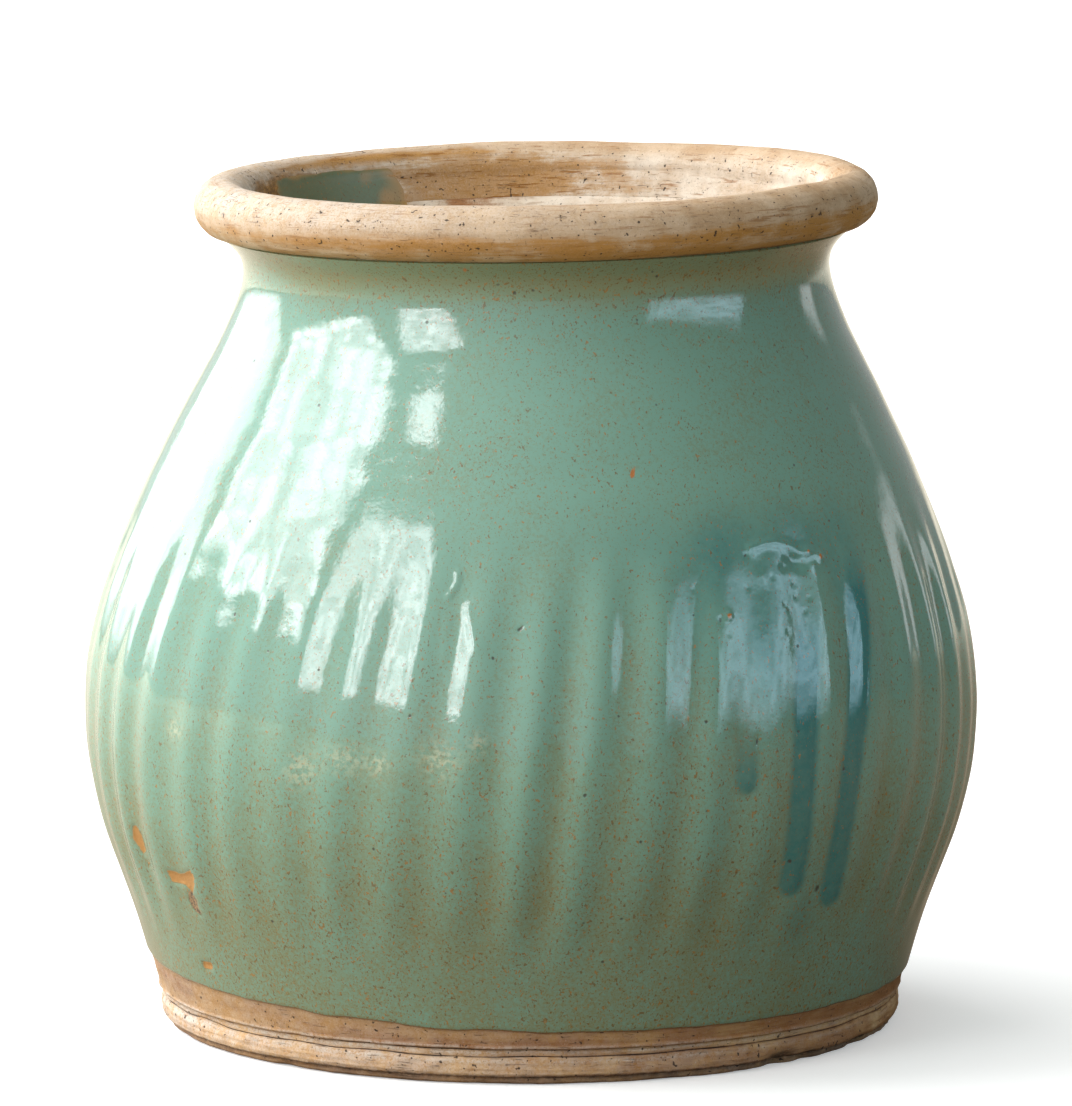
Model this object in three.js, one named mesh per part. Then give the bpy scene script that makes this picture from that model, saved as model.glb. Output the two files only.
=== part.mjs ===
// A glazed clay jar: a slab base and foot band, a bellied wall, a rolled rim, its glaze coats and three runs.
// Millimetres, +Z up. The origin is on the ground under the middle of the foot, and the front faces -Y.

import * as THREE from 'three';
import { mergeVertices } from 'three/addons/utils/BufferGeometryUtils.js';

// ---- Driving dimensions ----

const SEGMENTS = 54; // flat sides round the jar
const GAP = 0.3; // clearance between pieces that are joined or fused on the real jar
const WALL = 12; // clay thickness, square to the surface
const GLAZE = 1.2; // thickness of the outside coat
const COAT_GAP = 0.5; // clearance under the inside patch, which crosses the flat sides of two pieces

// Base slab, with a drain hole and a shallow recess underneath
const SLAB_TOP = 16.6;
const SEAT_DEPTH = 1.6; // the wall stands in a rebate round the slab's top
const FLOOR_RADIUS = 141.4;
const SLAB_RADIUS = 163;
const FOOT_RADIUS = 172.5;
const FOOT_EDGE = 3.4; // height of the rough lip below the foot band
const FOOT_BEVEL = 1.5;
const RECESS_RADIUS = 118;
const RECESS_DEPTH = 3;
const DRAIN_RADIUS = 12;

// Foot band, wrapped round the slab's edge
const BAND_RADIUS = 175;
const BAND_BEVEL = 1.3;

// Wall: the outside of the bare clay, as [height, radius] from the foot band to the throat
const OUTLINE = [
  [17, 175.6], // on the foot band
  [50, 184.9], // above the glaze line
  [80, 194.9],
  [110, 204.4],
  [150, 208.5], // belly
  [185, 205.2],
  [220, 195.2],
  [260, 179.3], // shoulder
  [300, 159.5],
  [335, 142],
  [355, 136.5], // neck
  [366, 138.4],
  [376, 147.6], // throat, under the rim
];
const LIP = 376; // top of the wall, where the rim is seated
const FILLET = 22; // inside corner between the floor and the wall
const LOW_ROWS = [18.4, 31, 45]; // heights of the outline's points near the foot
const BELLY_TOP = 335;
const BELLY_ROWS = 11;
const NECK_ROWS = 5;
const FILLET_ROWS = 4;

// Rim: a roll of clay with a round outside and a straight mouth
const ROLL_RADIUS = 12.9;
const ROLL_CENTRE = [147.7, 388]; // radius and height of the roll's middle
const ROLL_STEPS = 12;

// The rim sits a little to one side and out of level, easing in above the belly
const LEAN = 3; // towards +X
const TILT = 0.0175; // rise of the rim for each millimetre of +X
const LEAN_FROM = 150;

// Glaze line: the lower edge of the outside coat rises and falls round the jar
const LINE_HEIGHT = 28.8;
const LINE_SWING = 4.8;
const LINE_RIPPLE = 2.2;
const LINE_HIGH_AT = 172; // degrees, where the line is highest
const COAT_TOP = 375.4;

// Inside patch of glaze on the mouth, in whole flat sides
const PATCH_HEIGHTS = [352, 395];
const PATCH_SIDES = [31, 37]; // counted from the front
const PATCH_THICKNESS = 0.8;
const PATCH_ROWS = 8;

// Runs of thicker glaze: the path from the lower end up, as [angle in degrees, height]
const RUNS = [
  { name: 'glaze_run_1', width: 12, path: [[-62.1, 137], [-62.1, 151], [-62.1, 166]] },
  { name: 'glaze_run_2', width: 13, path: [[-53.6, 87], [-53.6, 130], [-53.4, 165], [-49.9, 221]] },
  { name: 'glaze_run_3', width: 13, path: [[-45.9, 78.5], [-45.9, 137.5], [-42.2, 200], [-39.2, 235]] },
];
const RUN_THICKNESS = 1;
const RUN_EDGE = 0.3; // thickness of a run at its margin
const RUN_COLUMNS = 4;
const RUN_STEP = 11; // average length of one step along a run
const END_ROWS = 6; // extra steps for the round ends

// ---- Materials ----

const clay = (colour) => new THREE.MeshStandardMaterial({ color: colour, roughness: 0.85, metalness: 0 });
const glass = (colour) => new THREE.MeshStandardMaterial({ color: colour, roughness: 0.12, metalness: 0 });

const baseClay = clay(0xb48d66);
const bandClay = clay(0xc9a883);
const wallClay = clay(0xb89468);
const rimClay = clay(0xc6a986);
const celadon = glass(0x7a9c8b);
const innerGreen = glass(0x6f8f68);
const turquoise = glass(0x4f9c97);

// ---- Surfaces of the clay ----

const { degToRad, smoothstep, lerp } = THREE.MathUtils;
const SLOPE_STEP = 0.5; // distance over which a slope is measured

const outline = new THREE.CubicInterpolant(
  OUTLINE.map(([height]) => height),
  OUTLINE.map(([, radius]) => radius),
  1,
);

// The outside radius of the bare clay.
function outerRadius(height) {
  return outline.evaluate(height)[0];
}

function outerSlope(height) {
  const low = height - SLOPE_STEP;
  const high = Math.min(height + SLOPE_STEP, LIP);
  return (outerRadius(high) - outerRadius(low)) / (high - low);
}

// A point off the outside of the clay, square to it, as [radius, height].
function outside(height, distance) {
  const slope = outerSlope(height);
  const length = Math.hypot(1, slope);
  return [outerRadius(height) + distance / length, height - (distance * slope) / length];
}

// The inside radius of the wall, with a round fillet down to the floor.
function innerRadius(height) {
  const above = Math.min((height - SLAB_TOP) / FILLET, 1);
  const inset = FILLET * (1 - Math.sqrt(1 - (1 - above) ** 2));
  return outerRadius(height) - WALL * Math.hypot(1, outerSlope(height)) - inset;
}

// The radius of the mouth: the wall's inside, then the rim's straight face, then its round top.
function mouthRadius(height) {
  const [middle, level] = ROLL_CENTRE;
  if (height <= LIP) return innerRadius(height);
  if (height <= level) return lerp(innerRadius(LIP), middle - ROLL_RADIUS, (height - LIP) / (level - LIP));
  return middle - Math.sqrt(ROLL_RADIUS ** 2 - (height - level) ** 2);
}

// The height of the outside coat's lower edge.
function glazeLine(angle) {
  const turn = angle - degToRad(LINE_HIGH_AT);
  return LINE_HEIGHT + LINE_SWING * Math.cos(turn) + LINE_RIPPLE * Math.cos(2 * turn);
}

// ---- Helpers ----

const evenly = (from, to, count) => Array.from({ length: count }, (_, i) => lerp(from, to, (i + 1) / count));

const BELLY_START = LOW_ROWS.at(-1);
const BODY_ROWS = [...evenly(BELLY_START, BELLY_TOP, BELLY_ROWS), ...evenly(BELLY_TOP, LIP, NECK_ROWS)];

// Moves every vertex to where place() puts it, adds the jar's lean and joins the shared vertices.
function shaped(geometry, place = (point) => point) {
  const position = geometry.attributes.position;
  const vertex = new THREE.Vector3();
  for (let i = 0; i < position.count; i += 1) {
    const point = place(vertex.fromBufferAttribute(position, i));
    const share = smoothstep(point.z, LEAN_FROM, LIP);
    position.setXYZ(i, point.x + LEAN * share, point.y, point.z + TILT * point.x * share);
  }
  geometry.deleteAttribute('normal');
  geometry.deleteAttribute('uv');
  const solid = mergeVertices(geometry);
  solid.computeVertexNormals();
  return solid;
}

// A closed section of [radius, height] points, listed anticlockwise, turned about +Z.
function turned(section) {
  const points = [...section, section[0]].map(([radius, height]) => new THREE.Vector2(radius, height));
  return new THREE.LatheGeometry(points, SEGMENTS).rotateX(Math.PI / 2);
}

function polar(radius, angle, height) {
  return new THREE.Vector3(radius * Math.cos(angle), radius * Math.sin(angle), height);
}

function piece(name, geometry, material) {
  const mesh = new THREE.Mesh(geometry, material);
  mesh.name = name;
  return mesh;
}

// ---- Pieces ----

function baseSlab() {
  const seat = SLAB_TOP - SEAT_DEPTH;
  const section = [
    [DRAIN_RADIUS, RECESS_DEPTH],
    [RECESS_RADIUS, RECESS_DEPTH],
    [RECESS_RADIUS, 0],
    [FOOT_RADIUS - FOOT_BEVEL, 0],
    [FOOT_RADIUS, FOOT_BEVEL],
    [FOOT_RADIUS, FOOT_EDGE],
    [SLAB_RADIUS, FOOT_EDGE],
    [SLAB_RADIUS, seat],
    [FLOOR_RADIUS, seat],
    [FLOOR_RADIUS, SLAB_TOP],
    [DRAIN_RADIUS, SLAB_TOP],
  ];
  return piece('base_slab', shaped(turned(section)), baseClay);
}

function footBand() {
  const low = FOOT_EDGE + GAP;
  const inner = SLAB_RADIUS + GAP;
  const section = [
    [inner, low],
    [BAND_RADIUS - BAND_BEVEL, low],
    [BAND_RADIUS, low + BAND_BEVEL],
    [BAND_RADIUS, SLAB_TOP - BAND_BEVEL],
    [BAND_RADIUS - BAND_BEVEL, SLAB_TOP],
    [inner, SLAB_TOP],
  ];
  return piece('foot_band', shaped(turned(section)), bandClay);
}

function wall() {
  const tongue = SLAB_TOP - SEAT_DEPTH + GAP;
  const overBand = SLAB_TOP + GAP;
  const filletRows = evenly(SLAB_TOP + FILLET, SLAB_TOP + GAP, FILLET_ROWS);
  const insideRows = [...BODY_ROWS.toReversed(), BELLY_START, ...filletRows];
  const section = [
    [FLOOR_RADIUS + GAP, tongue],
    [SLAB_RADIUS - GAP, tongue],
    [SLAB_RADIUS - GAP, overBand],
    [BAND_RADIUS - BAND_BEVEL, overBand],
    ...[...LOW_ROWS, ...BODY_ROWS].map((height) => [outerRadius(height), height]),
    ...insideRows.map((height) => [innerRadius(height), height]),
    [FLOOR_RADIUS + GAP, SLAB_TOP + GAP],
  ];
  return piece('wall', shaped(turned(section)), wallClay);
}

function rimRoll() {
  const [middle, level] = ROLL_CENTRE;
  const seat = LIP + GAP;
  const start = Math.asin((seat - level) / ROLL_RADIUS);
  const arc = evenly(start, Math.PI, ROLL_STEPS).map((turn) => [
    middle + ROLL_RADIUS * Math.cos(turn),
    level + ROLL_RADIUS * Math.sin(turn),
  ]);
  const section = [
    [innerRadius(LIP), seat],
    [middle + ROLL_RADIUS * Math.cos(start), seat],
    ...arc,
  ];
  return piece('rim_roll', shaped(turned(section)), rimClay);
}

// The coat's section changes round the jar, so its vertices are turned as a plain strip and then placed.
function outerGlaze() {
  const rows = [LOW_ROWS.at(-1), ...BODY_ROWS.slice(0, -1), COAT_TOP];
  const heightOf = (row, angle) => (row === 0 ? glazeLine(angle) : rows[row - 1]);
  const count = rows.length + 1;
  const up = Array.from({ length: count }, (_, row) => [2, row]);
  const down = up.map(([, row]) => [1, row]).toReversed();
  const place = (point) => {
    const angle = Math.atan2(point.y, point.x);
    const skin = Math.round(Math.hypot(point.x, point.y)) - 1;
    const row = Math.round(point.z);
    const [radius, height] = outside(heightOf(row, angle), GAP + skin * GLAZE);
    return polar(radius, angle, height);
  };
  return piece('outer_glaze', shaped(turned([...up, ...down]), place), celadon);
}

// A splash of glaze over the seam between the wall and the rim, inside the mouth.
function innerGlaze() {
  const [low, high] = PATCH_HEIGHTS;
  const [first, last] = PATCH_SIDES;
  const side = (2 * Math.PI) / SEGMENTS;
  const place = (point) => {
    const height = lerp(low, high, point.y + 0.5);
    const angle = lerp(first, last, point.x + 0.5) * side - Math.PI / 2;
    const depth = COAT_GAP + (0.5 - point.z) * PATCH_THICKNESS;
    return polar(mouthRadius(height) - depth, angle, height);
  };
  const block = new THREE.BoxGeometry(1, 1, 1, last - first, PATCH_ROWS, 1);
  return piece('inner_glaze', shaped(block, place), innerGreen);
}

// A run: a domed strip with round ends that lies on the outside coat along its path. Its steps are finest
// at the ends.
function glazeRun({ name, width, path }) {
  const stops = path.map(([angle, height]) => new THREE.Vector2(degToRad(angle), height));
  const route = new THREE.SplineCurve(stops);
  const length = path.at(-1)[1] - path[0][1];
  const place = (point) => {
    const along = (1 + Math.sin(Math.PI * point.y)) / 2;
    const across = 2 * point.x;
    const { x: middle, y: height } = route.getPoint(along);
    const fromEnd = Math.min(along, 1 - along) * length;
    const end = Math.min((fromEnd + RUN_EDGE) / (width / 2), 1);
    const half = (width / 2) * Math.sqrt(1 - (1 - end) ** 2);
    const dome = RUN_EDGE + (RUN_THICKNESS - RUN_EDGE) * (1 - across ** 2);
    const lift = 2 * GAP + GLAZE + (point.z + 0.5) * dome;
    const [radius, level] = outside(height, lift);
    return polar(radius, middle + (across * half) / radius, level);
  };
  const block = new THREE.BoxGeometry(1, 1, 1, RUN_COLUMNS, Math.round(length / RUN_STEP) + END_ROWS, 1);
  return piece(name, shaped(block, place), turquoise);
}

// ---- The jar ----

const jar = new THREE.Group();
jar.add(baseSlab(), footBand(), wall(), rimRoll(), outerGlaze(), innerGlaze());
RUNS.forEach((run) => jar.add(glazeRun(run)));

export default jar;
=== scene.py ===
"""Looks of a glazed clay garden pot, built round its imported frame.

Blender 4.5, row frame with +Z up. The pot's sizes are written in millimetres and degrees and turned into
metres when a mesh is made; lights, camera and floor are in metres. Angles run anticlockwise from +X, so the
pot's front, towards -Y, is at -90.
"""

import math

import bpy
import numpy as np
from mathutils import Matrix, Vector


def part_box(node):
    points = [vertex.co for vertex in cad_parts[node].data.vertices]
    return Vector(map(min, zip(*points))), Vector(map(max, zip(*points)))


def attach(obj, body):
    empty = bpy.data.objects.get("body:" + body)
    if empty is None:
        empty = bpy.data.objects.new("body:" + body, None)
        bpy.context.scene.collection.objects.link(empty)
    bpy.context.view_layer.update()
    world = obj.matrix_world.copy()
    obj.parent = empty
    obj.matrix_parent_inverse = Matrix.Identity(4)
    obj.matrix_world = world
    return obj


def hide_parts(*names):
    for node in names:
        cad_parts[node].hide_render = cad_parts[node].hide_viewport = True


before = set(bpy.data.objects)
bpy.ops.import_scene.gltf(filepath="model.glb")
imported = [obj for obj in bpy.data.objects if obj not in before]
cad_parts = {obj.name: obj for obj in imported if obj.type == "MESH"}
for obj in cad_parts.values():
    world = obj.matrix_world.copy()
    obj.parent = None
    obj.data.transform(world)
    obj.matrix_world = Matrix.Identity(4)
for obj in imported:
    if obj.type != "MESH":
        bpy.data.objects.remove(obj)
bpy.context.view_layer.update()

MM = 0.001

# ---- Sizes of the pot ----

ROLL_RADIUS = 12.9
ROLL_CENTRE = (147.7, 388.0)
LIP = 376  # height of the seam between the wall and the rim
FOOT_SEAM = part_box("foot_band")[1].z / MM  # height of the seam above the foot band
BAND_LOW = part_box("foot_band")[0].z / MM
BAND_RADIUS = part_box("foot_band")[1].x / MM
FOOT_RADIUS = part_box("base_slab")[1].x / MM
WALL_START = 45  # above this height the wall node has its outside and inside at the same heights
WALL_SEAT = BAND_LOW + 11.6  # height of the wall's underside, on the slab
WALL_STEP = FOOT_RADIUS - 10  # radius of the step under the wall, where it meets the foot band
GAP = 0.3  # between pieces of clay
BEAD_UP = 1.2  # height of the bead at the wall's foot above the seam
CREASE_DOWN = 3.4  # depth of the foot band's crease below the seam

LEAN = 3  # how far the rim sits towards +X
TILT = 0.0175  # rise of the rim for each millimetre of +X
LEAN_FROM = 150

COAT_GAP = 0.3
COAT = 1.2  # thickness of the glaze
COAT_TOP = 375.4
EDGE_ROUND = 2.2  # height over which the coat rounds off at its lower edge
NECK = 320  # height where the outline starts to bend into the neck
LINE_FADE = 30  # height over which the rows settle from the glaze line to level

FLUTES = 45  # finger-wide ridges round the belly
FLUTE_DEPTH = 0.8
FLUTE_AT = -91  # angle of one ridge, at FLUTE_LEVEL
FLUTE_LEVEL = 130
FLUTE_DRIFT = 0.03  # degrees of turn for each millimetre of height
FLUTES_START = (45, 95)  # heights between which the ridges grow to their full depth
FLUTES_END = (195, 262)  # heights between which they fade out


# ---- Numbers ----


def smoothstep(value, low, high):
    share = np.clip((value - low) / (high - low), 0, 1)
    return share * share * (3 - 2 * share)


def hump(value, middle, width):
    """1 at the middle, falling off to both sides."""
    return np.exp(-(((value - middle) / width) ** 2))


def wrapped(degrees):
    """The same angle between -180 and 180."""
    return (degrees + 180) % 360 - 180


def facing(theta, away):
    """How far an angle is turned from the angle `away`: 0 at it and 1 opposite to it."""
    return 0.5 - 0.5 * np.cos(np.radians(theta - away))


def spread(start, *stretches):
    """Values from start through each (end, step) stretch, evenly spaced within a stretch."""
    values = [start]
    for end, step in stretches:
        count = max(round((end - values[-1]) / step), 1)
        values.extend(np.linspace(values[-1], end, count + 1)[1:])
    return np.array(values, float)


def swell(theta, along, seed, turns, length, waves=10):
    """Smooth unevenness, mostly between -1 and 1, that closes round the pot. It has up to `turns` waves round
    the pot, and its waves are `length` millimetres or longer the other way."""
    rng = np.random.default_rng(seed)
    total = 0
    for _ in range(waves):
        across = rng.integers(-turns, turns + 1)
        rise = rng.uniform(-1, 1) * 2 * math.pi / length
        total = total + np.cos(across * np.radians(theta) + rise * along + rng.uniform(0, 2 * math.pi))
    return total * math.sqrt(2 / waves) * 0.6


class Outline:
    """A natural cubic spline of radius by height."""

    def __init__(self, heights, radii):
        order = np.argsort(heights)
        self.heights = np.asarray(heights, float)[order]
        self.radii = np.asarray(radii, float)[order]
        gaps = np.diff(self.heights)
        count = len(self.heights)
        system = np.eye(count)
        right = np.zeros(count)
        for i in range(1, count - 1):
            system[i, i - 1 : i + 2] = gaps[i - 1], 2 * (gaps[i - 1] + gaps[i]), gaps[i]
            steps = np.diff(self.radii[i - 1 : i + 2]) / gaps[i - 1 : i + 1]
            right[i] = 6 * (steps[1] - steps[0])
        self.bends = np.linalg.solve(system, right)

    def _span(self, height):
        at = np.clip(np.searchsorted(self.heights, height) - 1, 0, len(self.heights) - 2)
        gap = self.heights[at + 1] - self.heights[at]
        return at, gap, (height - self.heights[at]) / gap

    def radius(self, height):
        at, gap, share = self._span(height)
        rest = 1 - share
        curve = (rest**3 - rest) * self.bends[at] + (share**3 - share) * self.bends[at + 1]
        return rest * self.radii[at] + share * self.radii[at + 1] + curve * gap**2 / 6

    def slope(self, height):
        at, gap, share = self._span(height)
        rest = 1 - share
        curve = (1 - 3 * rest**2) * self.bends[at] + (3 * share**2 - 1) * self.bends[at + 1]
        return (self.radii[at + 1] - self.radii[at]) / gap + curve * gap / 6


# ---- Reading the frame ----


def node_points(node):
    """A node's vertices in millimetres, with the pot's lean taken out."""
    points = np.array([v.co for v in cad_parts[node].data.vertices]) / MM
    share = smoothstep(points[:, 2], LEAN_FROM, LIP)
    points[:, 0] -= LEAN * share
    points[:, 2] -= TILT * points[:, 0] * share
    return points


def wall_outlines():
    """The wall's outside and inside, read off the node's front line."""
    x, y, z = node_points("wall").T
    front = (abs(x) < 1) & (y < 0) & (z > FOOT_SEAM + 1)
    radius, height = -y[front], z[front]
    outer, inner = {}, {}
    for r, z in zip(radius, np.round(height, 1)):
        if z > WALL_START - 1 or r > BAND_RADIUS - 0.5:
            outer[z] = max(r, outer.get(z, 0))
        if z > WALL_START - 1 or r < BAND_RADIUS - 0.5:
            inner[z] = min(r, inner.get(z, 1e3))
    return Outline(list(outer), list(outer.values())), Outline(list(inner), list(inner.values()))


def coat_line():
    """The height of the coat's lower edge by angle: two waves fitted to the node's lowest ring."""
    x, y, z = node_points("outer_glaze").T
    theta = np.degrees(np.arctan2(y, x))
    low = {}
    for angle, height in zip(np.round(theta, 1), z):
        low[angle] = min(height, low.get(angle, 1e3))
    angles = np.radians(list(low))
    waves = np.column_stack([f(k * angles) for k in (1, 2) for f in (np.cos, np.sin)])
    terms = np.column_stack([np.ones(len(angles)), waves])
    fit = np.linalg.lstsq(terms, list(low.values()), rcond=None)[0]

    def line(theta):
        turn = np.radians(theta)
        total = fit[0]
        for k in (1, 2):
            total = total + fit[2 * k - 1] * np.cos(k * turn) + fit[2 * k] * np.sin(k * turn)
        return total

    return line, fit[0]


OUTSIDE, INSIDE = wall_outlines()
wave_line, LINE_MIDDLE = coat_line()


class Run:
    """A run of glaze: its middle line by height, its ends and its half width."""

    def __init__(self, node):
        x, y, z = node_points(node).T
        theta = np.degrees(np.arctan2(y, x))
        self.node = node
        self.low, self.high = z.min(), z.max()
        self.bend = np.polyfit(z, theta, 3)
        off = (theta - np.polyval(self.bend, z)) * np.radians(OUTSIDE.radius(z))
        self.half = abs(off).max()

    def middle(self, height):
        return np.polyval(self.bend, np.clip(height, self.low, self.high))


RUNS = [Run(name) for name in ("glaze_run_1", "glaze_run_2", "glaze_run_3")]


# ---- Shape of the surfaces ----


def polar(radius, theta, height):
    turn = np.radians(theta)
    return np.stack(np.broadcast_arrays(radius * np.cos(turn), radius * np.sin(turn), height), axis=-1)


def leaned(points):
    share = smoothstep(points[..., 2], LEAN_FROM, LIP)
    x = points[..., 0] + LEAN * share
    z = points[..., 2] + TILT * points[..., 0] * share
    return np.stack([x, points[..., 1], z], axis=-1)


def outside(theta, height, lift):
    """Points `lift` off the outside of the clay, square to it."""
    slope = OUTSIDE.slope(height)
    length = np.hypot(1, slope)
    return polar(OUTSIDE.radius(height) + lift / length, theta, height - lift * slope / length)


def glaze_line(theta):
    ripple = 0.5 * swell(theta, 0, 11, 24, 50) + 0.25 * swell(theta, 0, 12, 90, 50)
    return wave_line(theta) + ripple


def arc(theta, middle, height):
    """Distance round the outside from the angle `middle`, in millimetres."""
    return np.radians(wrapped(theta - middle)) * OUTSIDE.radius(height)


def blob(theta, height, middle, level, half_width, half_height=None, tilt=0):
    """A soft round spot, 1 at its middle, with an optional tilt in degrees."""
    across = arc(theta, middle, height)
    up = height - level
    turn = math.radians(tilt)
    along = across * math.cos(turn) + up * math.sin(turn)
    aside = up * math.cos(turn) - across * math.sin(turn)
    return np.exp(-((along / half_width) ** 2) - (aside / (half_height or half_width)) ** 2)


def path_distance(theta, height, path):
    """Distance over the outside from a line through (angle, height) points, in millimetres."""
    nearest = np.full(np.broadcast(theta, height).shape, 1e3)
    for (a, low), (b, high) in zip(path, path[1:]):
        x, y = arc(theta, a, height), height - low
        run, rise = arc(b, a, low), high - low
        share = np.clip((x * run + y * rise) / (run**2 + rise**2), 0, 1)
        nearest = np.minimum(nearest, np.hypot(x - share * run, y - share * rise))
    return nearest


def patch_distance(theta, height, corners):
    """Distance over the outside from a patch's border: negative inside it."""
    inside = np.zeros(np.broadcast(theta, height).shape, bool)
    middle = corners[0][0]
    x, y = arc(theta, middle, height), height
    ring = [(float(arc(a, middle, h)), h) for a, h in corners]
    for (x0, y0), (x1, y1) in zip(ring, ring[1:] + ring[:1]):
        crosses = (y0 > y) != (y1 > y)
        inside ^= crosses & (x < x0 + (y - y0) * (x1 - x0) / ((y1 - y0) or 1e-9))
    distance = path_distance(theta, height, [*corners, corners[0]])
    return np.where(inside, -distance, distance)


def flutes(theta, height):
    """Upright finger ridges round the belly, 1 on a ridge and -1 in a groove."""
    wobble = 0.5 * swell(theta, height, 21, 12, 260)
    turn = np.radians(theta - FLUTE_AT - FLUTE_DRIFT * (height - FLUTE_LEVEL) + wobble)
    fade = smoothstep(height, *FLUTES_START) * (1 - smoothstep(height, *FLUTES_END))
    strength = 1 + 0.45 * swell(theta, height, 22, 22, 400)
    return np.cos(FLUTES * turn) * fade * strength


# The dent at the right of the front: the (angle, height) points of its ridge, its hollows as (angle, height,
# half width, half height, rise), and its lumps as (angle, height, half width, rise)
DENT_RIDGE = [(-58, 245), (-55.5, 246.2), (-53.6, 246.2), (-51.4, 243.8), (-49.9, 240.8), (-48, 240.5)]
DENT_RIDGE += [(-46.4, 237.8)]
DENT_TILT = -25
DENT_HOLLOWS = [(-51, 236.8, 5, 2.8, -1.1), (-53.1, 235.2, 3, 2.0, -0.4)]
DENT_LUMPS = [
    (-48.5, 239.8, 2.2, 0.9),
    (-47.9, 234.2, 2.0, 0.5),
    (-46.0, 236.8, 2.2, 0.9),
    (-57.0, 232.2, 2.4, 0.4),
    (-57.5, 243.2, 2.6, 0.4),
]
DROP = (-63.1, 216.2, 2.0)  # a drop of glaze: angle, height and half width
CRESCENT = [(-101.2, 228), (-100.6, 231), (-100.1, 234.5), (-100.2, 238)]
DRIP_RIDGES = [[(-101, 218), (-101.2, 200.5)], [(-98.5, 222.5), (-96.9, 205.2)]]


def clay_relief(theta, height):
    """How far the clay stands off its even outline, in millimetres."""
    relief = FLUTE_DEPTH * flutes(theta, height)
    relief = relief + 0.5 * swell(theta, height, 31, 4, 160)
    relief = relief + 0.12 * swell(theta, height, 32, 14, 34) * smoothstep(height, 60, 110)
    relief = relief + 0.07 * swell(theta, height, 33, 3, 15) * smoothstep(height, 150, 230)
    for middle, level, half_width, half_height, rise in DENT_HOLLOWS:
        relief = relief + rise * blob(theta, height, middle, level, half_width, half_height, DENT_TILT)
    return relief


def glaze_relief(theta, height):
    """What the glaze adds to the clay's relief."""
    relief = 0.6 * hump(path_distance(theta, height, DENT_RIDGE), 0, 2.0)
    for middle, level, half, rise in DENT_LUMPS:
        relief = relief + 0.6 * rise * blob(theta, height, middle, level, 1.15 * half)
    relief = relief + 0.9 * blob(theta, height, *DROP)
    relief = relief + 0.5 * hump(path_distance(theta, height, CRESCENT), 0, 1.4)
    for path in DRIP_RIDGES:
        relief = relief + 0.3 * hump(path_distance(theta, height, path), 0, 2.6)
    return relief


# Bare patches at the lower left, each as the (angle, height) corners of its outline
CHIP = [(-147.4, 88.5), (-144.1, 88), (-141.1, 91.5), (-140.5, 88.5), (-141.5, 82.8), (-142.4, 80.2)]
CHIP += [(-143, 82.2), (-144, 83.2), (-146.6, 83)]
CHIP_TAIL = [(-143.1, 81), (-142.2, 79.8), (-141.6, 76.2), (-141.5, 69.5), (-142.9, 71.5), (-143.9, 75.5)]
LONG_CHIP = [(-154.1, 106), (-153.4, 105.8), (-152.5, 99.8), (-152.6, 94.5), (-153.6, 92.5)]
LONG_CHIP += [(-154, 95.5), (-154.8, 99.5)]
SMALL_CHIP = [(-145, 45), (-142.6, 46.2), (-142.8, 43.2), (-145, 41.5)]
CHIP_DOT = [(-153.4, 89), (-152.7, 89), (-152.7, 88), (-153.4, 88)]
CHIPS = [CHIP, LONG_CHIP, SMALL_CHIP, CHIP_DOT]
FAR = 9.0  # distances are cut off here


def chip_distance(theta, height, patches):
    """Distance over the outside from the ragged border of the nearest patch."""
    ragged = 0.35 * swell(theta, height, 41, 170, 6)
    distance = np.full(np.broadcast(theta, height).shape, FAR)
    for corners in patches:
        distance = np.minimum(distance, patch_distance(theta, height, corners) + ragged)
    return distance


# Marks in the glaze: (angle, height, half width, half height, tilt). A round one leaves out the last two.
PITS = [
    (-91.4, 214.4, 2.3, 0.9, 35),
    (-85.4, 254, 1.0, 0.8),
    (-54.6, 103.2, 1.3, 1.1),
    (-48.6, 87.2, 1.6, 2.0),
    (-64.4, 214.8, 0.9, 1.2),
    (-53.5, 217, 0.6, 0.9),
    (-63.4, 208.8, 0.8, 0.7),
    (-54.4, 207.5, 0.8, 0.7),
    (-63.0, 161.5, 0.8, 0.7),
    (-60.6, 160.6, 0.8, 0.7),
]
PINHOLES = [(-55.4, 231.5), (-52, 227), (-52, 221.8), (-49.9, 220.8), (-51.1, 215), (-54.2, 219.5)]
PINHOLES += [(-59.5, 228), (-59, 241.8), (-67.5, 229.2)]
PITS += [(middle, level, 0.7) for middle, level in PINHOLES]
SCUFFS = [
    (-113.6, 153.8, 9, 6),
    (-109, 152.5, 5),
    (-101.2, 156, 9, 8),
    (-119.9, 147.5, 8),
    (-96.4, 163.2, 4, 5),
    (-141, 158, 6, 5),
]
RUST_SPOTS = [
    (-74.6, 281, 2.0, 1.4, 20),
    (-75.0, 278.6, 1.3),
    (-63.1, 216.4, 1.5),
    (-46.3, 237.5, 1.3, 1.6),
    (-48.4, 240.2, 1.3, 1.0),
    (-103, 371.5, 1.6, 1.4),
]


def spots(theta, height, places):
    """Soft spots at the places of such a list, from 0 to 1."""
    return np.clip(sum(blob(theta, height, *place) for place in places), 0, 1)


# Cloud of turquoise on the front right: (angle, height, half width, half height, strength)
CLOUD = [
    (-58, 248, 52, 13, 0.45),
    (-62, 232, 34, 14, 0.35),
    (-60, 212, 22, 26, 0.6),
    (-52, 222, 12, 26, 0.35),
    (-41.5, 226, 9, 24, 0.8),
    (-43.5, 190, 8, 40, 0.35),
    (-70, 200, 16, 26, 0.25),
    (-58, 180, 12, 22, 0.5),
    (-50, 72, 12, 14, 0.3),
    (-51, 150, 16, 40, 0.15),
]


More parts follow.
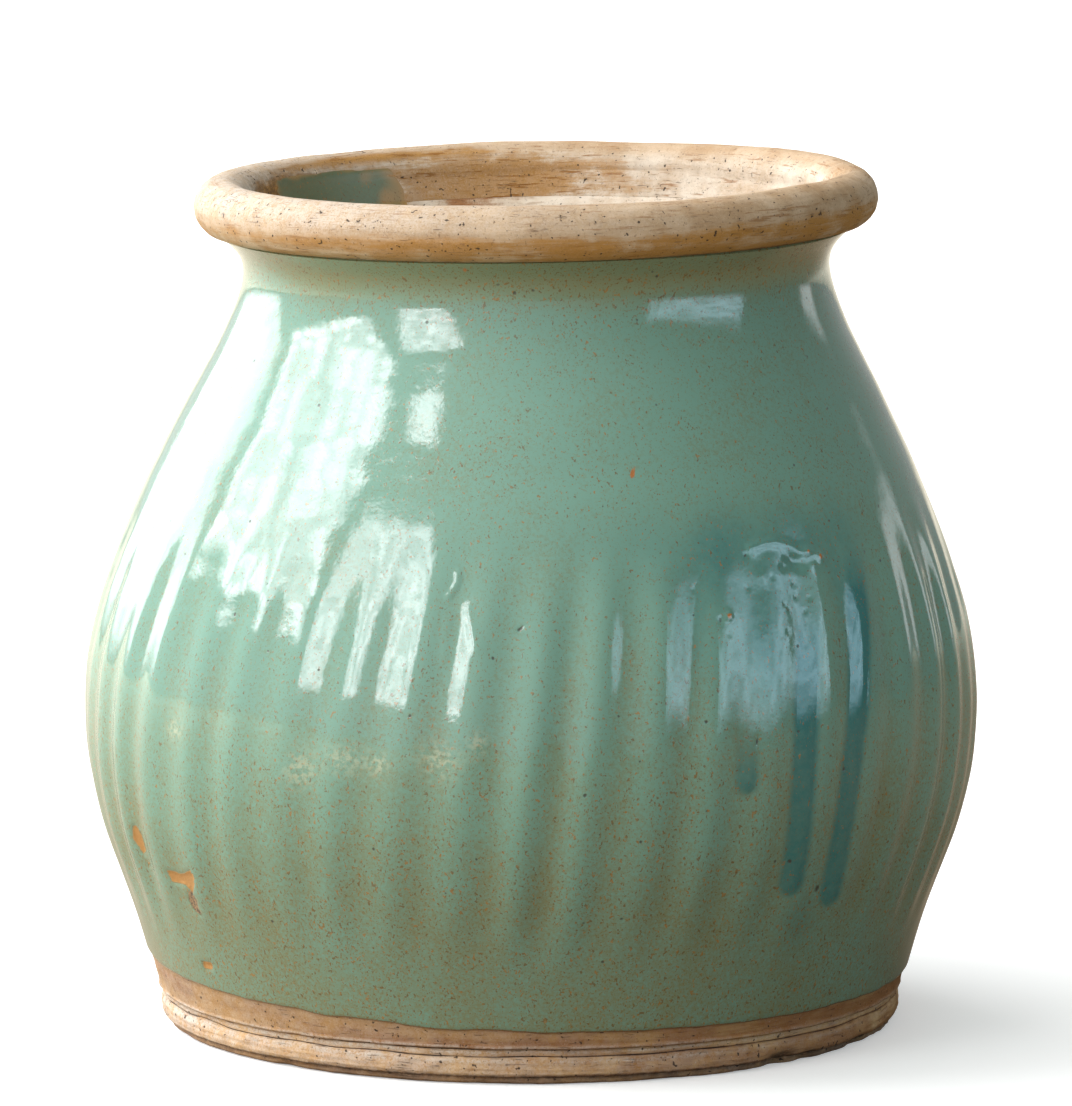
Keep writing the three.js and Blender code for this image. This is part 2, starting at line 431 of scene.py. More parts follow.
def turquoise(theta, height):
    """How turquoise the glaze is, from 0 to 1: the cloud, and soft bands along the runs."""
    total = 0
    for middle, level, half_width, half_height, strength in CLOUD:
        total = total + strength * blob(theta, height, middle, level, half_width, half_height)
    total = total * (0.85 + 0.3 * swell(theta, height, 51, 40, 60))
    for run in RUNS:
        aside = arc(theta, run.middle(height), height)
        beyond = np.clip(run.low + run.half - height, 0, None)
        band = 1 - smoothstep(np.hypot(aside, beyond), run.half - 3.0, run.half + 2.2)
        total = total + 0.8 * band * (1 - smoothstep(height, run.high - 30, run.high + 5))
    return np.clip(total, 0, 1)


# ---- Meshes ----


def grid_piece(name, points, attributes, material, ring=True):
    """A closed mesh from rows x columns of points in millimetres. Rows run anticlockwise round the section
    and close on themselves. Columns close round the pot, or else the piece has two capped ends."""
    rows, columns = points.shape[:2]
    index = np.arange(rows * columns).reshape(rows, columns)
    above = np.roll(index, -1, axis=0)
    if ring:
        here, beside = index, np.roll(index, -1, axis=1)
        above_here, above_beside = above, np.roll(above, -1, axis=1)
    else:
        here, beside = index[:, :-1], index[:, 1:]
        above_here, above_beside = above[:, :-1], above[:, 1:]
    quads = np.stack([here, beside, above_beside, above_here], axis=-1).reshape(-1, 4).tolist()
    if not ring:
        quads += [index[:, 0].tolist(), index[::-1, -1].tolist()]
    mesh = bpy.data.meshes.new(name)
    mesh.from_pydata((leaned(points).reshape(-1, 3) * MM).tolist(), [], quads)
    mesh.shade_smooth()
    for key, values in attributes.items():
        values = np.asarray(values, float)
        if values.shape == points.shape:
            layer = mesh.attributes.new(key, "FLOAT_VECTOR", "POINT")
            layer.data.foreach_set("vector", values.ravel())
        else:
            layer = mesh.attributes.new(key, "FLOAT", "POINT")
            layer.data.foreach_set("value", np.broadcast_to(values, (rows, columns)).ravel())
    mesh.materials.append(material)
    piece = bpy.data.objects.new(name, mesh)
    bpy.context.scene.collection.objects.link(piece)
    return piece


def section_lengths(section):
    """Distance along a closed section at each of its points."""
    steps = np.hypot(*np.diff(section, axis=0).T)
    return np.concatenate([[0], np.cumsum(steps)])


def section_normals(section):
    """Directions square to a closed section, away from the clay, at each of its points."""
    ahead = np.roll(section, -1, axis=0) - np.roll(section, 1, axis=0)
    ahead /= np.hypot(*ahead.T)[:, None]
    return np.column_stack([ahead[:, 1], -ahead[:, 0]])


GRAIN_TURN = 12  # millimetres of grain coordinate for each radian round the pot


def grain(theta, along):
    """Coordinates for streaks that run round the pot: stretched along them and closed round the pot."""
    turn = np.radians(theta)
    parts = np.broadcast_arrays(GRAIN_TURN * np.cos(turn), GRAIN_TURN * np.sin(turn), along)
    return np.stack(parts, axis=-1)


# ---- Shader nodes ----


def tone(code):
    """A colour written as RRGGBB, in linear light."""
    parts = [int(code[i : i + 2], 16) / 255 for i in (0, 2, 4)]
    return (*[c / 12.92 if c <= 0.04045 else ((c + 0.055) / 1.055) ** 2.4 for c in parts], 1)


class Graph:
    """Adds and links the nodes of one material, light or world."""

    def __init__(self, owner):
        owner.use_nodes = True
        self.owner = owner
        self.tree = owner.node_tree
        self.tree.nodes.clear()

    def add(self, kind, inputs, **settings):
        """A node whose inputs are each linked to a socket or set to a value."""
        node = self.tree.nodes.new("ShaderNode" + kind)
        for key, value in settings.items():
            setattr(node, key, value)
        for key, value in inputs.items():
            if isinstance(value, bpy.types.NodeSocket):
                self.tree.links.new(value, node.inputs[key])
            else:
                node.inputs[key].default_value = value
        return node

    def attribute(self, name, output="Fac"):
        return self.add("Attribute", {}, attribute_name=name).outputs[output]

    def position(self):
        return self.add("TexCoord", {}).outputs["Object"]

    def vector(self, operation, inputs, output=0):
        return self.add("VectorMath", inputs, operation=operation).outputs[output]

    def math(self, operation, a, b=0.0, clamp=False):
        return self.add("Math", {0: a, 1: b}, operation=operation, use_clamp=clamp).outputs[0]

    def times(self, a, b):
        return self.math("MULTIPLY", a, b)

    def stirred(self, value, noise, amount, clamp=False):
        """The value pushed up where the noise is high and down where it is low."""
        return self.math("ADD", value, self.times(self.math("SUBTRACT", noise, 0.5), amount), clamp)

    def step(self, value, low, high):
        """0 below low and 1 above high, smooth between. Low may be the larger one."""
        inputs = {"Value": value, "From Min": low, "From Max": high}
        return self.add("MapRange", inputs, interpolation_type="SMOOTHSTEP").outputs[0]

    def mix(self, factor, a, b):
        """From colour a to colour b. Each is a socket, an RRGGBB code or a linear colour."""
        a, b = [tone(colour) if isinstance(colour, str) else colour for colour in (a, b)]
        return self.add("Mix", {0: factor, 6: a, 7: b}, data_type="RGBA").outputs[2]

    def over(self, colour, paint, mask, share=1.0):
        """The colour with paint over it where the mask is 1. `share` is how much of it the paint hides."""
        return self.mix(mask if share == 1 else self.times(mask, share), colour, paint)

    def noise(self, vector, size, detail=2.0, roughness=0.5):
        """Noise whose lumps are about `size` millimetres across, from 0 to 1."""
        inputs = {"Vector": vector, "Scale": 1 / (size * MM), "Detail": detail, "Roughness": roughness}
        return self.add("TexNoise", inputs).outputs["Fac"]

    def specks(self, vector, spacing, share, width):
        """Round specks in some of the cells of a grid `spacing` mm wide. `share` is the part of the cells
        that have one, and `width` the size of the largest as a part of a cell."""
        smallest = 0.35
        cells = self.add("TexVoronoi", {"Vector": vector, "Scale": 1 / (spacing * MM)})
        parts = self.add("SeparateColor", {"Color": cells.outputs["Color"]})
        chosen = self.math("LESS_THAN", parts.outputs[0], share)
        reach = self.times(self.math("ADD", parts.outputs[1], smallest), width / (1 + smallest))
        inputs = {"Value": cells.outputs["Distance"], "From Min": reach, "From Max": self.times(reach, 0.6)}
        return self.times(self.add("MapRange", inputs).outputs[0], chosen)

    def bump(self, height, depth, strength=1.0, normal=None):
        """Bump whose full height is `depth` millimetres."""
        inputs = {"Height": height, "Distance": depth * MM, "Strength": strength}
        if normal is not None:
            inputs["Normal"] = normal
        return self.add("Bump", inputs).outputs[0]

    def finish(self, inputs):
        """Ends a material with one Principled shader."""
        shader = self.add("BsdfPrincipled", inputs)
        self.add("OutputMaterial", {"Surface": shader.outputs[0]})
        return self.owner


# ---- Materials ----


def glaze_material(name, body, shade, thin, gloss=0.045, coat=0.35):
    """Glossy glass over clay. Attributes, from 0 to 1 unless it says otherwise: turquoise; ridge (1 on a
    ridge and -1 in a groove); low (towards the foot); rust (how many flecks); chip and tail (millimetres from
    the border of a bare patch, negative inside it); pit; thin (where the clay shows through); hem (along the
    lower edge); scuff; and spot, a spot of rust."""
    g = Graph(bpy.data.materials.new(name))
    place = g.position()
    mottle = g.noise(place, 5, 5.0, 0.75)
    grainy = g.noise(place, 1.6, 3.0, 0.7)

    ridge = g.times(g.attribute("ridge"), g.times(g.noise(place, 60, 2.0), -0.35))
    olive = g.math("ADD", ridge, g.times(g.attribute("low"), 0.62))
    olive = g.stirred(olive, g.noise(place, 45, 3.0, 0.6), 1.3)
    olive = g.stirred(olive, mottle, 0.9)
    olive = g.stirred(olive, grainy, 2.4, clamp=True)
    colour = g.mix(olive, body, shade)
    teal = g.math("MULTIPLY", g.attribute("turquoise"), g.math("ADD", mottle, 0.55), clamp=True)
    colour = g.over(colour, "2F7673", teal)
    colour = g.over(colour, thin, g.attribute("thin"))

    # Flecks of rust, finer dust between them, and dark specks
    upright = g.vector("MULTIPLY", {0: place, 1: (1, 1, 0.75)})
    crowd = g.stirred(g.times(g.attribute("rust"), 0.09), g.noise(place, 30, 3.0, 0.6), 0.12)
    flecks = g.step(g.math("ADD", g.noise(upright, 1.45, 1.0), crowd), 0.70, 0.74)
    dust = g.step(g.math("ADD", g.noise(upright, 0.85, 1.0), crowd), 0.67, 0.73)
    fleck_tone = g.mix(g.step(g.noise(place, 4.0), 0.42, 0.58), "6E4E22", "A26E28")
    colour = g.over(colour, "7E6430", dust, 0.55)
    colour = g.over(colour, fleck_tone, flecks, 0.68)
    scuff = g.times(g.attribute("scuff"), g.step(g.noise(place, 3, 4.0, 0.7), 0.42, 0.6))
    colour = g.over(colour, "BEC2A4", scuff, 0.6)
    spot_tone = g.mix(g.noise(place, 1.2), "8A4A1C", "D08A48")
    colour = g.over(colour, spot_tone, g.step(g.attribute("spot"), 0.4, 0.7))
    wander = g.add("TexNoise", {"Vector": place, "Scale": 260.0}).outputs["Color"]
    moved = g.vector("ADD", {0: place, 1: g.vector("SCALE", {0: wander, "Scale": 0.0012})})
    pit = g.math("MAXIMUM", g.specks(moved, 8.0, 0.35, 0.13), g.step(g.attribute("pit"), 0.35, 0.75))
    colour = g.over(colour, "2E2A1C", pit, 0.85)

    # Bare patches, with the cut edge of the glaze round them
    chip_edge = g.attribute("chip")
    chip = g.step(chip_edge, 0.25, -0.1)
    tail = g.step(g.attribute("tail"), 0.3, -0.2)
    colour = g.over(colour, "8A8660", g.step(chip_edge, 0.9, 0.2), 0.5)
    colour = g.over(colour, "7E4E22", g.attribute("hem"))
    colour = g.over(colour, g.mix(g.noise(place, 1.6, 3.0), "A06C2C", "BE8C46"), chip)
    grit = g.mix(g.step(g.noise(place, 1.8, 4.0, 0.7), 0.4, 0.6), "4A3018", "A8825A")
    colour = g.over(colour, grit, tail, 0.9)

    matt = g.math("MAXIMUM", chip, g.math("MAXIMUM", tail, g.times(pit, 0.6)))
    rough = g.math("ADD", g.times(g.noise(place, 9, 3.0), 0.05), gloss)
    rough = g.math("ADD", rough, g.times(matt, 0.6), clamp=True)
    normal = g.bump(g.noise(place, 6.5), 0.2, 0.5)
    normal = g.bump(grainy, 0.04, 0.6, normal)
    normal = g.bump(flecks, 0.04, 0.5, normal)
    normal = g.bump(g.math("SUBTRACT", 1.0, pit), 0.25, 1.0, normal)
    normal = g.bump(g.times(g.noise(place, 1.0, 3.0), matt), 0.3, 1.0, normal)
    return g.finish({
        "Base Color": colour,
        "Roughness": rough,
        "Normal": normal,
        "IOR": 1.7,
        "Coat Weight": coat,
        "Coat Roughness": 0.03,
    })


def clay_material(name, pale, tan, ochre_and_shade):
    """Bare fired clay with brushed streaks. Attributes: grain (coordinates that are stretched along the
    streaks), and from 0 to 1 ochre_and_shade (yellow-brown stains, with painted shade in that tone),
    whitening_and_light (chalky whitening, with painted light and painted highlights), rusty, inside (of the
    pot), crease_and_seam_shade (painted shade in the foot band's crease and seam) and painted_shade (painted
    shade under the roll, between pieces, in creases and hollows, and on the dim side)."""
    g = Graph(bpy.data.materials.new(name))
    place = g.position()
    streaky = g.vector("SCALE", {0: g.attribute("grain", "Vector"), "Scale": MM})
    aside = g.vector("ADD", {0: streaky, 1: (0.3, 0.1, 0.2)})
    broad = g.noise(streaky, 9, 4.0, 0.6)
    fine = g.noise(streaky, 1.3, 5.0, 0.7)
    brush = g.noise(aside, 1.8, 4.0, 0.6)
    lumps = g.noise(place, 26, 4.0, 0.65)
    sand = g.noise(place, 0.9, 3.0, 0.8)

    blend = g.step(g.math("ADD", g.times(broad, 0.25), g.times(lumps, 0.75)), 0.36, 0.62)
    colour = g.over(g.mix(blend, pale, tan), g.mix(blend, "E4D6C2", "C4A988"), g.attribute("inside"))
    # Yellow-brown stains, with painted shade in the same tone on the dim side, in the foot band's crease and
    # on the rim's inner face at the back left
    warm = g.attribute("ochre_and_shade")
    for noise, amount in ((lumps, 1.1), (broad, 1.2), (fine, 0.8), (sand, 0.8)):
        warm = g.stirred(warm, noise, amount)
    colour = g.over(colour, ochre_and_shade, g.step(warm, 0.3, 0.75), 0.9)
    # Chalky whitening, with painted light on the side facing the key light and painted highlights on the bead
    # and the foot band's crests
    chalk_and_light = g.math("ADD", g.times(lumps, 0.35), g.times(g.noise(place, 5, 5.0, 0.8), 0.65))
    chalk_and_light = g.step(g.math("ADD", chalk_and_light, g.times(sand, 0.4)), 0.55, 0.82)
    colour = g.over(colour, "DAD4CA", g.times(g.attribute("whitening_and_light"), chalk_and_light), 0.8)

    # Rust streaks, dark hairs, and painted shade: a broken dark line in the crease and along the seam, and
    # darker patches
    patches = g.step(g.noise(place, 20, 3.0, 0.6), 0.45, 0.58)
    rusty = g.times(g.step(brush, 0.57, 0.62), g.times(patches, g.attribute("rusty")))
    colour = g.over(colour, "94601F", rusty, 0.75)
    hairs = g.step(g.noise(aside, 0.7, 3.0, 0.6), 0.61, 0.66)
    hairs = g.times(hairs, g.step(g.noise(place, 13, 3.0, 0.6), 0.48, 0.58))
    colour = g.over(colour, "5E4632", hairs, 0.55)
    # Painted shade: a broken dark line in the foot band's crease and along the seam above it
    broken = g.step(g.stirred(g.attribute("crease_and_seam_shade"), fine, 1.0), 0.45, 0.65)
    colour = g.over(colour, "3E342E", broken, 0.85)
    # Painted shade in darker patches under the roll, between the pieces, in creases and hollows, and on the
    # rim's dim side
    painted_shade = g.times(g.attribute("painted_shade"), g.step(g.noise(place, 4, 4.0, 0.7), 0.3, 0.62))
    colour = g.over(colour, "4A3A2A", painted_shade, 0.8)

    # Dark and light grains of sand, grit and open pores
    colour = g.over(colour, "5E4630", g.step(sand, 0.45, 0.25), 0.4)
    colour = g.over(colour, "EFE6DA", g.step(sand, 0.58, 0.75), 0.3)
    colour = g.over(colour, "6E4E33", g.step(g.noise(place, 1.3, 1.0), 0.68, 0.72), 0.4)
    pores = g.step(g.math("ADD", g.noise(place, 2.2, 1.0), g.times(lumps, 0.15)), 0.78, 0.81)
    colour = g.over(colour, "33261C", pores, 0.85)

    normal = g.bump(brush, 0.3, 0.6)
    normal = g.bump(g.math("SUBTRACT", 1.0, g.math("MAXIMUM", hairs, broken)), 0.2, 0.8, normal)
    normal = g.bump(sand, 0.28, 0.8, normal)
    normal = g.bump(g.math("SUBTRACT", 1.0, pores), 0.4, 1.0, normal)
    rough = g.math("ADD", g.times(fine, 0.2), 0.62)
    return g.finish({"Base Color": colour, "Roughness": rough, "Normal": normal, "IOR": 1.45})


celadon = glaze_material("celadon_glaze", "739F8D", "7A8463", "858A62")
green = glaze_material("inner_glaze", "667350", "5E6642", "A98348", gloss=0.4, coat=0.0)
blue = glaze_material("turquoise_glaze", "739F8D", "7A8463", "3F7D78")
rim_clay = clay_material("rim_clay", "CBB090", "B4926A", "B48034")
wall_clay = clay_material("wall_clay", "B68E5C", "A2784A", "96602E")
band_clay = clay_material("band_clay", "D2AC7C", "BA8A55", "9A6430")
base_clay = clay_material("base_clay", "BC9468", "98704A", "7A5230")


# ---- Pieces of glaze ----

# What a glaze has where nothing marks it
PLAIN_GLAZE = {"turquoise": 0, "ridge": 0, "low": 0, "rust": 0, "chip": FAR, "tail": FAR}
PLAIN_GLAZE |= {"pit": 0, "thin": 0, "hem": 0, "scuff": 0, "spot": 0}
PIT_DEPTH = 0.45


def glaze_marks(theta, height):
    """The attributes that the coat and the runs on it share."""
    return {
        "turquoise": turquoise(theta, height),
        "ridge": flutes(theta, height),
        "low": 1 - smoothstep(height, 40, 210),
        "pit": spots(theta, height, PITS),
    }


def coat():
    """The outside glaze: a closed coat from the glaze line up to the crease under the rim. Its mesh is finest
    round the chips, the runs and the dent."""
    theta = spread(-180, (-160, 1.0), (-138, 0.4), (-110, 0.9), (-35, 0.32), (0, 0.9), (180, 1.3))[:-1]
    rows = np.concatenate([
        LINE_MIDDLE + np.array([0, 0.2, 0.6, 1.2, 2.0]),
        spread(LINE_MIDDLE + 3, (40, 2), (112, 1.6), (200, 3), (250, 1.2), (COAT_TOP, 3.2)),
    ])
    angle, level = np.meshgrid(theta, rows)
    settle = 1 - smoothstep(level, LINE_MIDDLE, LINE_MIDDLE + LINE_FADE)
    height = level + (glaze_line(angle) - LINE_MIDDLE) * settle
    chip = chip_distance(angle, height, CHIPS)
    tail = chip_distance(angle, height, [CHIP_TAIL])
    marks = glaze_marks(angle, height)
    clay = clay_relief(angle, height)
    rounding = np.sqrt(1 - (1 - np.clip((level - LINE_MIDDLE) / EDGE_ROUND, 0, 1)) ** 2)
    dug = 0.85 * smoothstep(chip, 0.5, -0.3) + 0.6 * smoothstep(tail, 0.5, -0.3) + PIT_DEPTH * marks["pit"]
    lift = COAT_GAP + COAT * (0.1 + 0.9 * rounding) + clay + glaze_relief(angle, height) - dug
    face = outside(angle, height, lift)
    # The back keeps every second row in the neck and every tenth below it
    back_rows = np.array([i for i in range(len(rows) - 1, 0, -1) if i % (2 if rows[i] > NECK else 10) == 0])
    back = outside(angle[back_rows], height[back_rows], COAT_GAP + clay[back_rows])
    order = np.concatenate([np.arange(len(rows)), back_rows])
    attributes = {
        **marks,
        "rust": 0.3 + 0.42 * (1 - smoothstep(height, 90, 230)) + 0.6 * smoothstep(height, 335, 362),
        "chip": chip,
        "tail": tail,
        "thin": 0.8 * smoothstep(height + 4 * swell(angle, 0, 61, 12, 20), 347, 368),
        "hem": 1 - smoothstep(level, LINE_MIDDLE + 0.2, LINE_MIDDLE + 1.3),
        "scuff": spots(angle, height, SCUFFS),
        "spot": spots(angle, height, RUST_SPOTS),
    }
    attributes = {key: values[order] for key, values in attributes.items()}
    return grid_piece("celadon_coat", np.concatenate([face, back]), attributes, celadon)


def run_piece(run):
    """One run: a thin lens on the coat, feathered into it at its sides and ends."""
    across = np.linspace(-1, 1, 21)
    length = run.high - run.low
    along = run.low + length * (1 - np.cos(np.linspace(0, np.pi, round(length / 0.7)))) / 2
    height, side = np.meshgrid(along, across)
    from_end = np.minimum(height - run.low, run.high - height)
    width = run.half * np.sqrt(1 - (1 - np.clip((from_end + 0.2) / run.half, 0, 1)) ** 2)
    width = width * (1 + 0.06 * swell(0, height, 71, 1, 30))
    angle = run.middle(height) + np.degrees(side * width / OUTSIDE.radius(height))
    sunk = smoothstep(run.high - height, 2, max(0.3 * length, 26))
    dome = (1 - side**2) ** 1.4 * (width / run.half) * sunk
    base = COAT_GAP + COAT + clay_relief(angle, height) + glaze_relief(angle, height)
    top = outside(angle, height, base - 0.25 - 0.2 * (1 - sunk) + 0.75 * dome)
    under = outside(angle, height, base - 0.7)[1:-1][::-1]
    points = np.concatenate([top, under])[::-1]
    order = np.concatenate([np.arange(len(across)), np.arange(1, len(across) - 1)[::-1]])[::-1]
    marks = {key: values[order] for key, values in glaze_marks(angle, height).items()}
    name = run.node.replace("glaze", "turquoise")
    return grid_piece(name, points, {**PLAIN_GLAZE, **marks, "rust": 0.06}, blue, ring=False)


def mouth_radius(height):
    """The inside of the mouth: the wall's throat, the rim's straight face, then its round top."""
    middle, level = ROLL_CENTRE
    throat = INSIDE.radius(np.minimum(height, LIP))
    face = throat + (middle - ROLL_RADIUS - throat) * np.clip((height - LIP) / (level - LIP), 0, 1)
    over = middle - np.sqrt(np.clip(ROLL_RADIUS**2 - np.clip(height - level, 0, None) ** 2, 0, None))
    return np.where(height <= level, face, over)


def splash_piece():
    """A splash of green glaze inside the mouth, at the back left."""
    x, y, z = node_points("inner_glaze").T
    angles = np.degrees(np.arctan2(y, x)) % 360
    side, rise = np.meshgrid(np.linspace(0, 1, 90), np.linspace(0, 1, 40))
    wave = 0.35 * swell(360 * side, 0, 101, 6, 50) + 0.25 * swell(360 * side, 0, 103, 16, 50)
    low_edge = 0.05 + 0.05 * wave + 0.25 * smoothstep(abs(2 * side - 1), 0.6, 1.0)
    top_edge = np.clip(1 - 0.45 * smoothstep(side, 0.86, 1.0) + 0.04 * wave, 0.5, 1)
    theta = angles.max() - (angles.max() - angles.min()) * side
    height = z.min() + (z.max() - z.min()) * (low_edge + (top_edge - low_edge) * rise)
    edge = np.minimum(np.minimum(side * 14, (1 - side) * 9), np.minimum(rise, 1 - rise) * 12)
    lift = -0.2 + 0.45 * smoothstep(edge, 0, 1)
    face = polar(mouth_radius(height) - lift, theta, height)
    back = polar(mouth_radius(height) + 0.5, theta, height)
    patchy = 0.25 * swell(theta, height, 102, 60, 12)
    thin = 1 - smoothstep(edge + patchy, 0.1, 0.9) + 0.9 * smoothstep(side + 0.4 * patchy, 0.72, 1.0)
    thin = np.clip(thin, 0, 1)
    attributes = {**PLAIN_GLAZE, "low": 0.3, "rust": 0.4, "thin": np.concatenate([thin, thin[::-1]])}
    return grid_piece("mouth_splash", np.concatenate([face, back[::-1]]), attributes, green, ring=False)


# ---- Pieces of clay ----

SPLASH_AT = 104  # middle of the ochre stain at the splash
DIM_SIDE = 10  # angle of the dim side: painted light whitens the clay away from it and painted shade turns it yellow-brown towards it


def wall_piece():
    """The bellied wall, outside and inside, from the seam above the foot band up to the rim."""
    theta = np.linspace(-180, 180, 481)[:-1]
    outer_rows = spread(FOOT_SEAM + GAP, (FOOT_SEAM + 3, 0.3), (42, 1.2), (LIP, 5))
    inner_rows = spread(FOOT_SEAM + 0.4, (45, 2.4), (320, 8), (LIP, 2.5))[::-1]
    angle, height = np.meshgrid(theta, outer_rows)
    ragged = 0.25 * swell(angle, height, 82, 60, 7) * (1 - smoothstep(height, 34, 60))
    bead = 0.75 * hump(height, FOOT_SEAM + BEAD_UP, 0.8) * (0.8 + 0.3 * swell(angle, 0, 84, 40, 50))
    outer = outside(angle, height, clay_relief(angle, height) + ragged + bead)
    inner_angle, inner_height = np.meshgrid(theta, inner_rows)
    settle = smoothstep(inner_height, 60, 120) * (1 - smoothstep(inner_height, LIP - 14, LIP))
    uneven = 0.35 * swell(inner_angle, inner_height, 83, 8, 30) * settle
    inner = polar(INSIDE.radius(inner_height) + uneven, inner_angle, inner_height)
    corners = [
        (INSIDE.radius(inner_rows[-1]), WALL_SEAT),
        (WALL_STEP, WALL_SEAT),
        (WALL_STEP, FOOT_SEAM + GAP),
        (BAND_RADIUS - 1, FOOT_SEAM + GAP),
    ]
    lower = np.stack([polar(r, theta, z) for r, z in corners])
    points = np.concatenate([lower, outer, inner])

    heights = np.concatenate([np.full((len(corners), len(theta)), FOOT_SEAM), height, inner_height])
    inside = np.concatenate([np.zeros((len(corners) + len(outer), len(theta))), np.ones_like(inner_height)])
    angles = np.broadcast_to(theta, heights.shape)
    # left is 1 on the side facing the key light: the whitening there is painted light, and the extra
    # yellow-brown towards DIM_SIDE is painted shade
    left = facing(angles, DIM_SIDE)
    mouth = inside * smoothstep(heights, 330, LIP)
    # The top of the bead gets a painted highlight, brighter on the lit side
    on_bead = (1 - inside) * hump(heights, FOOT_SEAM + BEAD_UP, 0.6)
    splash = hump(wrapped(angles - SPLASH_AT), 0, 26) * mouth
    chalk_and_light = 0.35 * left * (1 - inside) + 0.6 * mouth * (1 - splash) + (0.2 + 0.5 * left) * on_bead
    attributes = {
        "grain": grain(angles, heights + 500 * inside),
        "ochre_and_shade": (0.25 + 0.5 * (1 - left)) * (1 - inside) + 0.55 * splash,
        "whitening_and_light": chalk_and_light,
        "rusty": 0.3 + 0.5 * splash - 0.2 * mouth,
        "inside": inside,
        "crease_and_seam_shade": 0,
        # Painted shade on the outside just above the seam with the foot band
        "painted_shade": 0.5 * (1 - inside) * (1 - smoothstep(heights, FOOT_SEAM + 0.2, FOOT_SEAM + 0.9)),
    }
    return grid_piece("clay_wall", points, attributes, wall_clay)


def rim_piece():
    """The coil of clay over the throat, a little uneven and brushed round."""
    theta = np.linspace(-180, 180, 721)[:-1]
    middle, level = ROLL_CENTRE
    slants = np.linspace(-96, 180, 62)
    turn = np.radians(slants)
    roll = np.column_stack([middle + ROLL_RADIUS * np.cos(turn), level + ROLL_RADIUS * np.sin(turn)])
    throat = (INSIDE.radius(LIP), LIP + 0.1)
    inner = np.linspace(roll[-1], throat, 10)[1:]
    under = np.linspace(throat, roll[0], 8)[1:-1]
    section = np.concatenate([roll, inner, under])
    normals = section_normals(section)
    angle, length = np.meshgrid(theta, section_lengths(section))
    slant = np.concatenate([slants, np.full(len(inner), 190), np.full(len(under), 250)])[:, None] + 0 * angle
    lift = 0.45 * swell(angle, length, 91, 7, 60) + 0.16 * swell(angle, length, 92, 26, 14)
    lift = lift + 0.1 * swell(angle, length, 93, 5, 2.6, 16)
    lift = np.where((slant > -80) & (slant < 185), lift, 0)
    points = polar(section[:, :1] + normals[:, :1] * lift, angle, section[:, 1:] + normals[:, 1:] * lift)

    # left is 1 on the side facing the key light: the whitening there is painted light, and the extra
    # yellow-brown, rust streaks and darkening on the far side are painted shade
    left = facing(angle, 15)
    lower = 1 - smoothstep(slant, -25, 30)
    inside = smoothstep(slant, 120, 165)
    splash = hump(wrapped(angle - SPLASH_AT), 0, 34) * inside
    # Painted shade on the rim's inner face at the back left, which is turned from the key light
    dark_end = hump(wrapped(angle - 158), 0, 24) * inside
    rust_line = hump(slant, 130, 13) * hump(wrapped(angle - 125), 0, 32)
    chalk_and_light = 0.85 * left**2 * (1 - 0.8 * lower) + 0.35 * inside * (1 - splash)
    # Painted shade on the underside of the roll
    underside = 1 - smoothstep(slant, -85, -62)
    attributes = {
        "grain": grain(angle, length),
        "ochre_and_shade": 0.15 + 0.6 * lower + 0.85 * splash - 0.2 * left + 0.8 * dark_end + 0.8 * rust_line,
        "whitening_and_light": chalk_and_light * (1 - np.maximum(dark_end, rust_line)),
        "rusty": np.clip(0.55 + 0.3 * (1 - left) + 0.5 * splash + 0.6 * rust_line, 0, 1.3),
        "inside": inside,
        "crease_and_seam_shade": 0,
        "painted_shade": 0.9 * underside + 0.12 * (1 - left) * (1 - lower) + 0.75 * dark_end,
    }
    return grid_piece("rim_coil", points, attributes, rim_clay)


# Broken hollows in the standing edge: (angle, height, half width, half height, depth)
EDGE_HOLLOWS = [
    (-48, 1, 8, 3.4, 4),
    (-42, 0, 6, 2.6, 3),
    (-28, 0, 8, 2.4, 3),
    (-131, 0, 6, 2, 2),
    (60, 0, 9, 3, 3),
    (140, 0, 7, 2, 3),
]


def edge_hollows(theta, height):
    """Depth of the hollows that are broken out of the standing edge."""
    depth = 0
    for middle, level, half_width, half_height, hollow in EDGE_HOLLOWS:
        across = np.radians(wrapped(theta - middle)) * FOOT_RADIUS
        depth = depth + hollow * np.exp(-((across / half_width) ** 2) - ((height - level) / half_height) ** 2)
    return depth


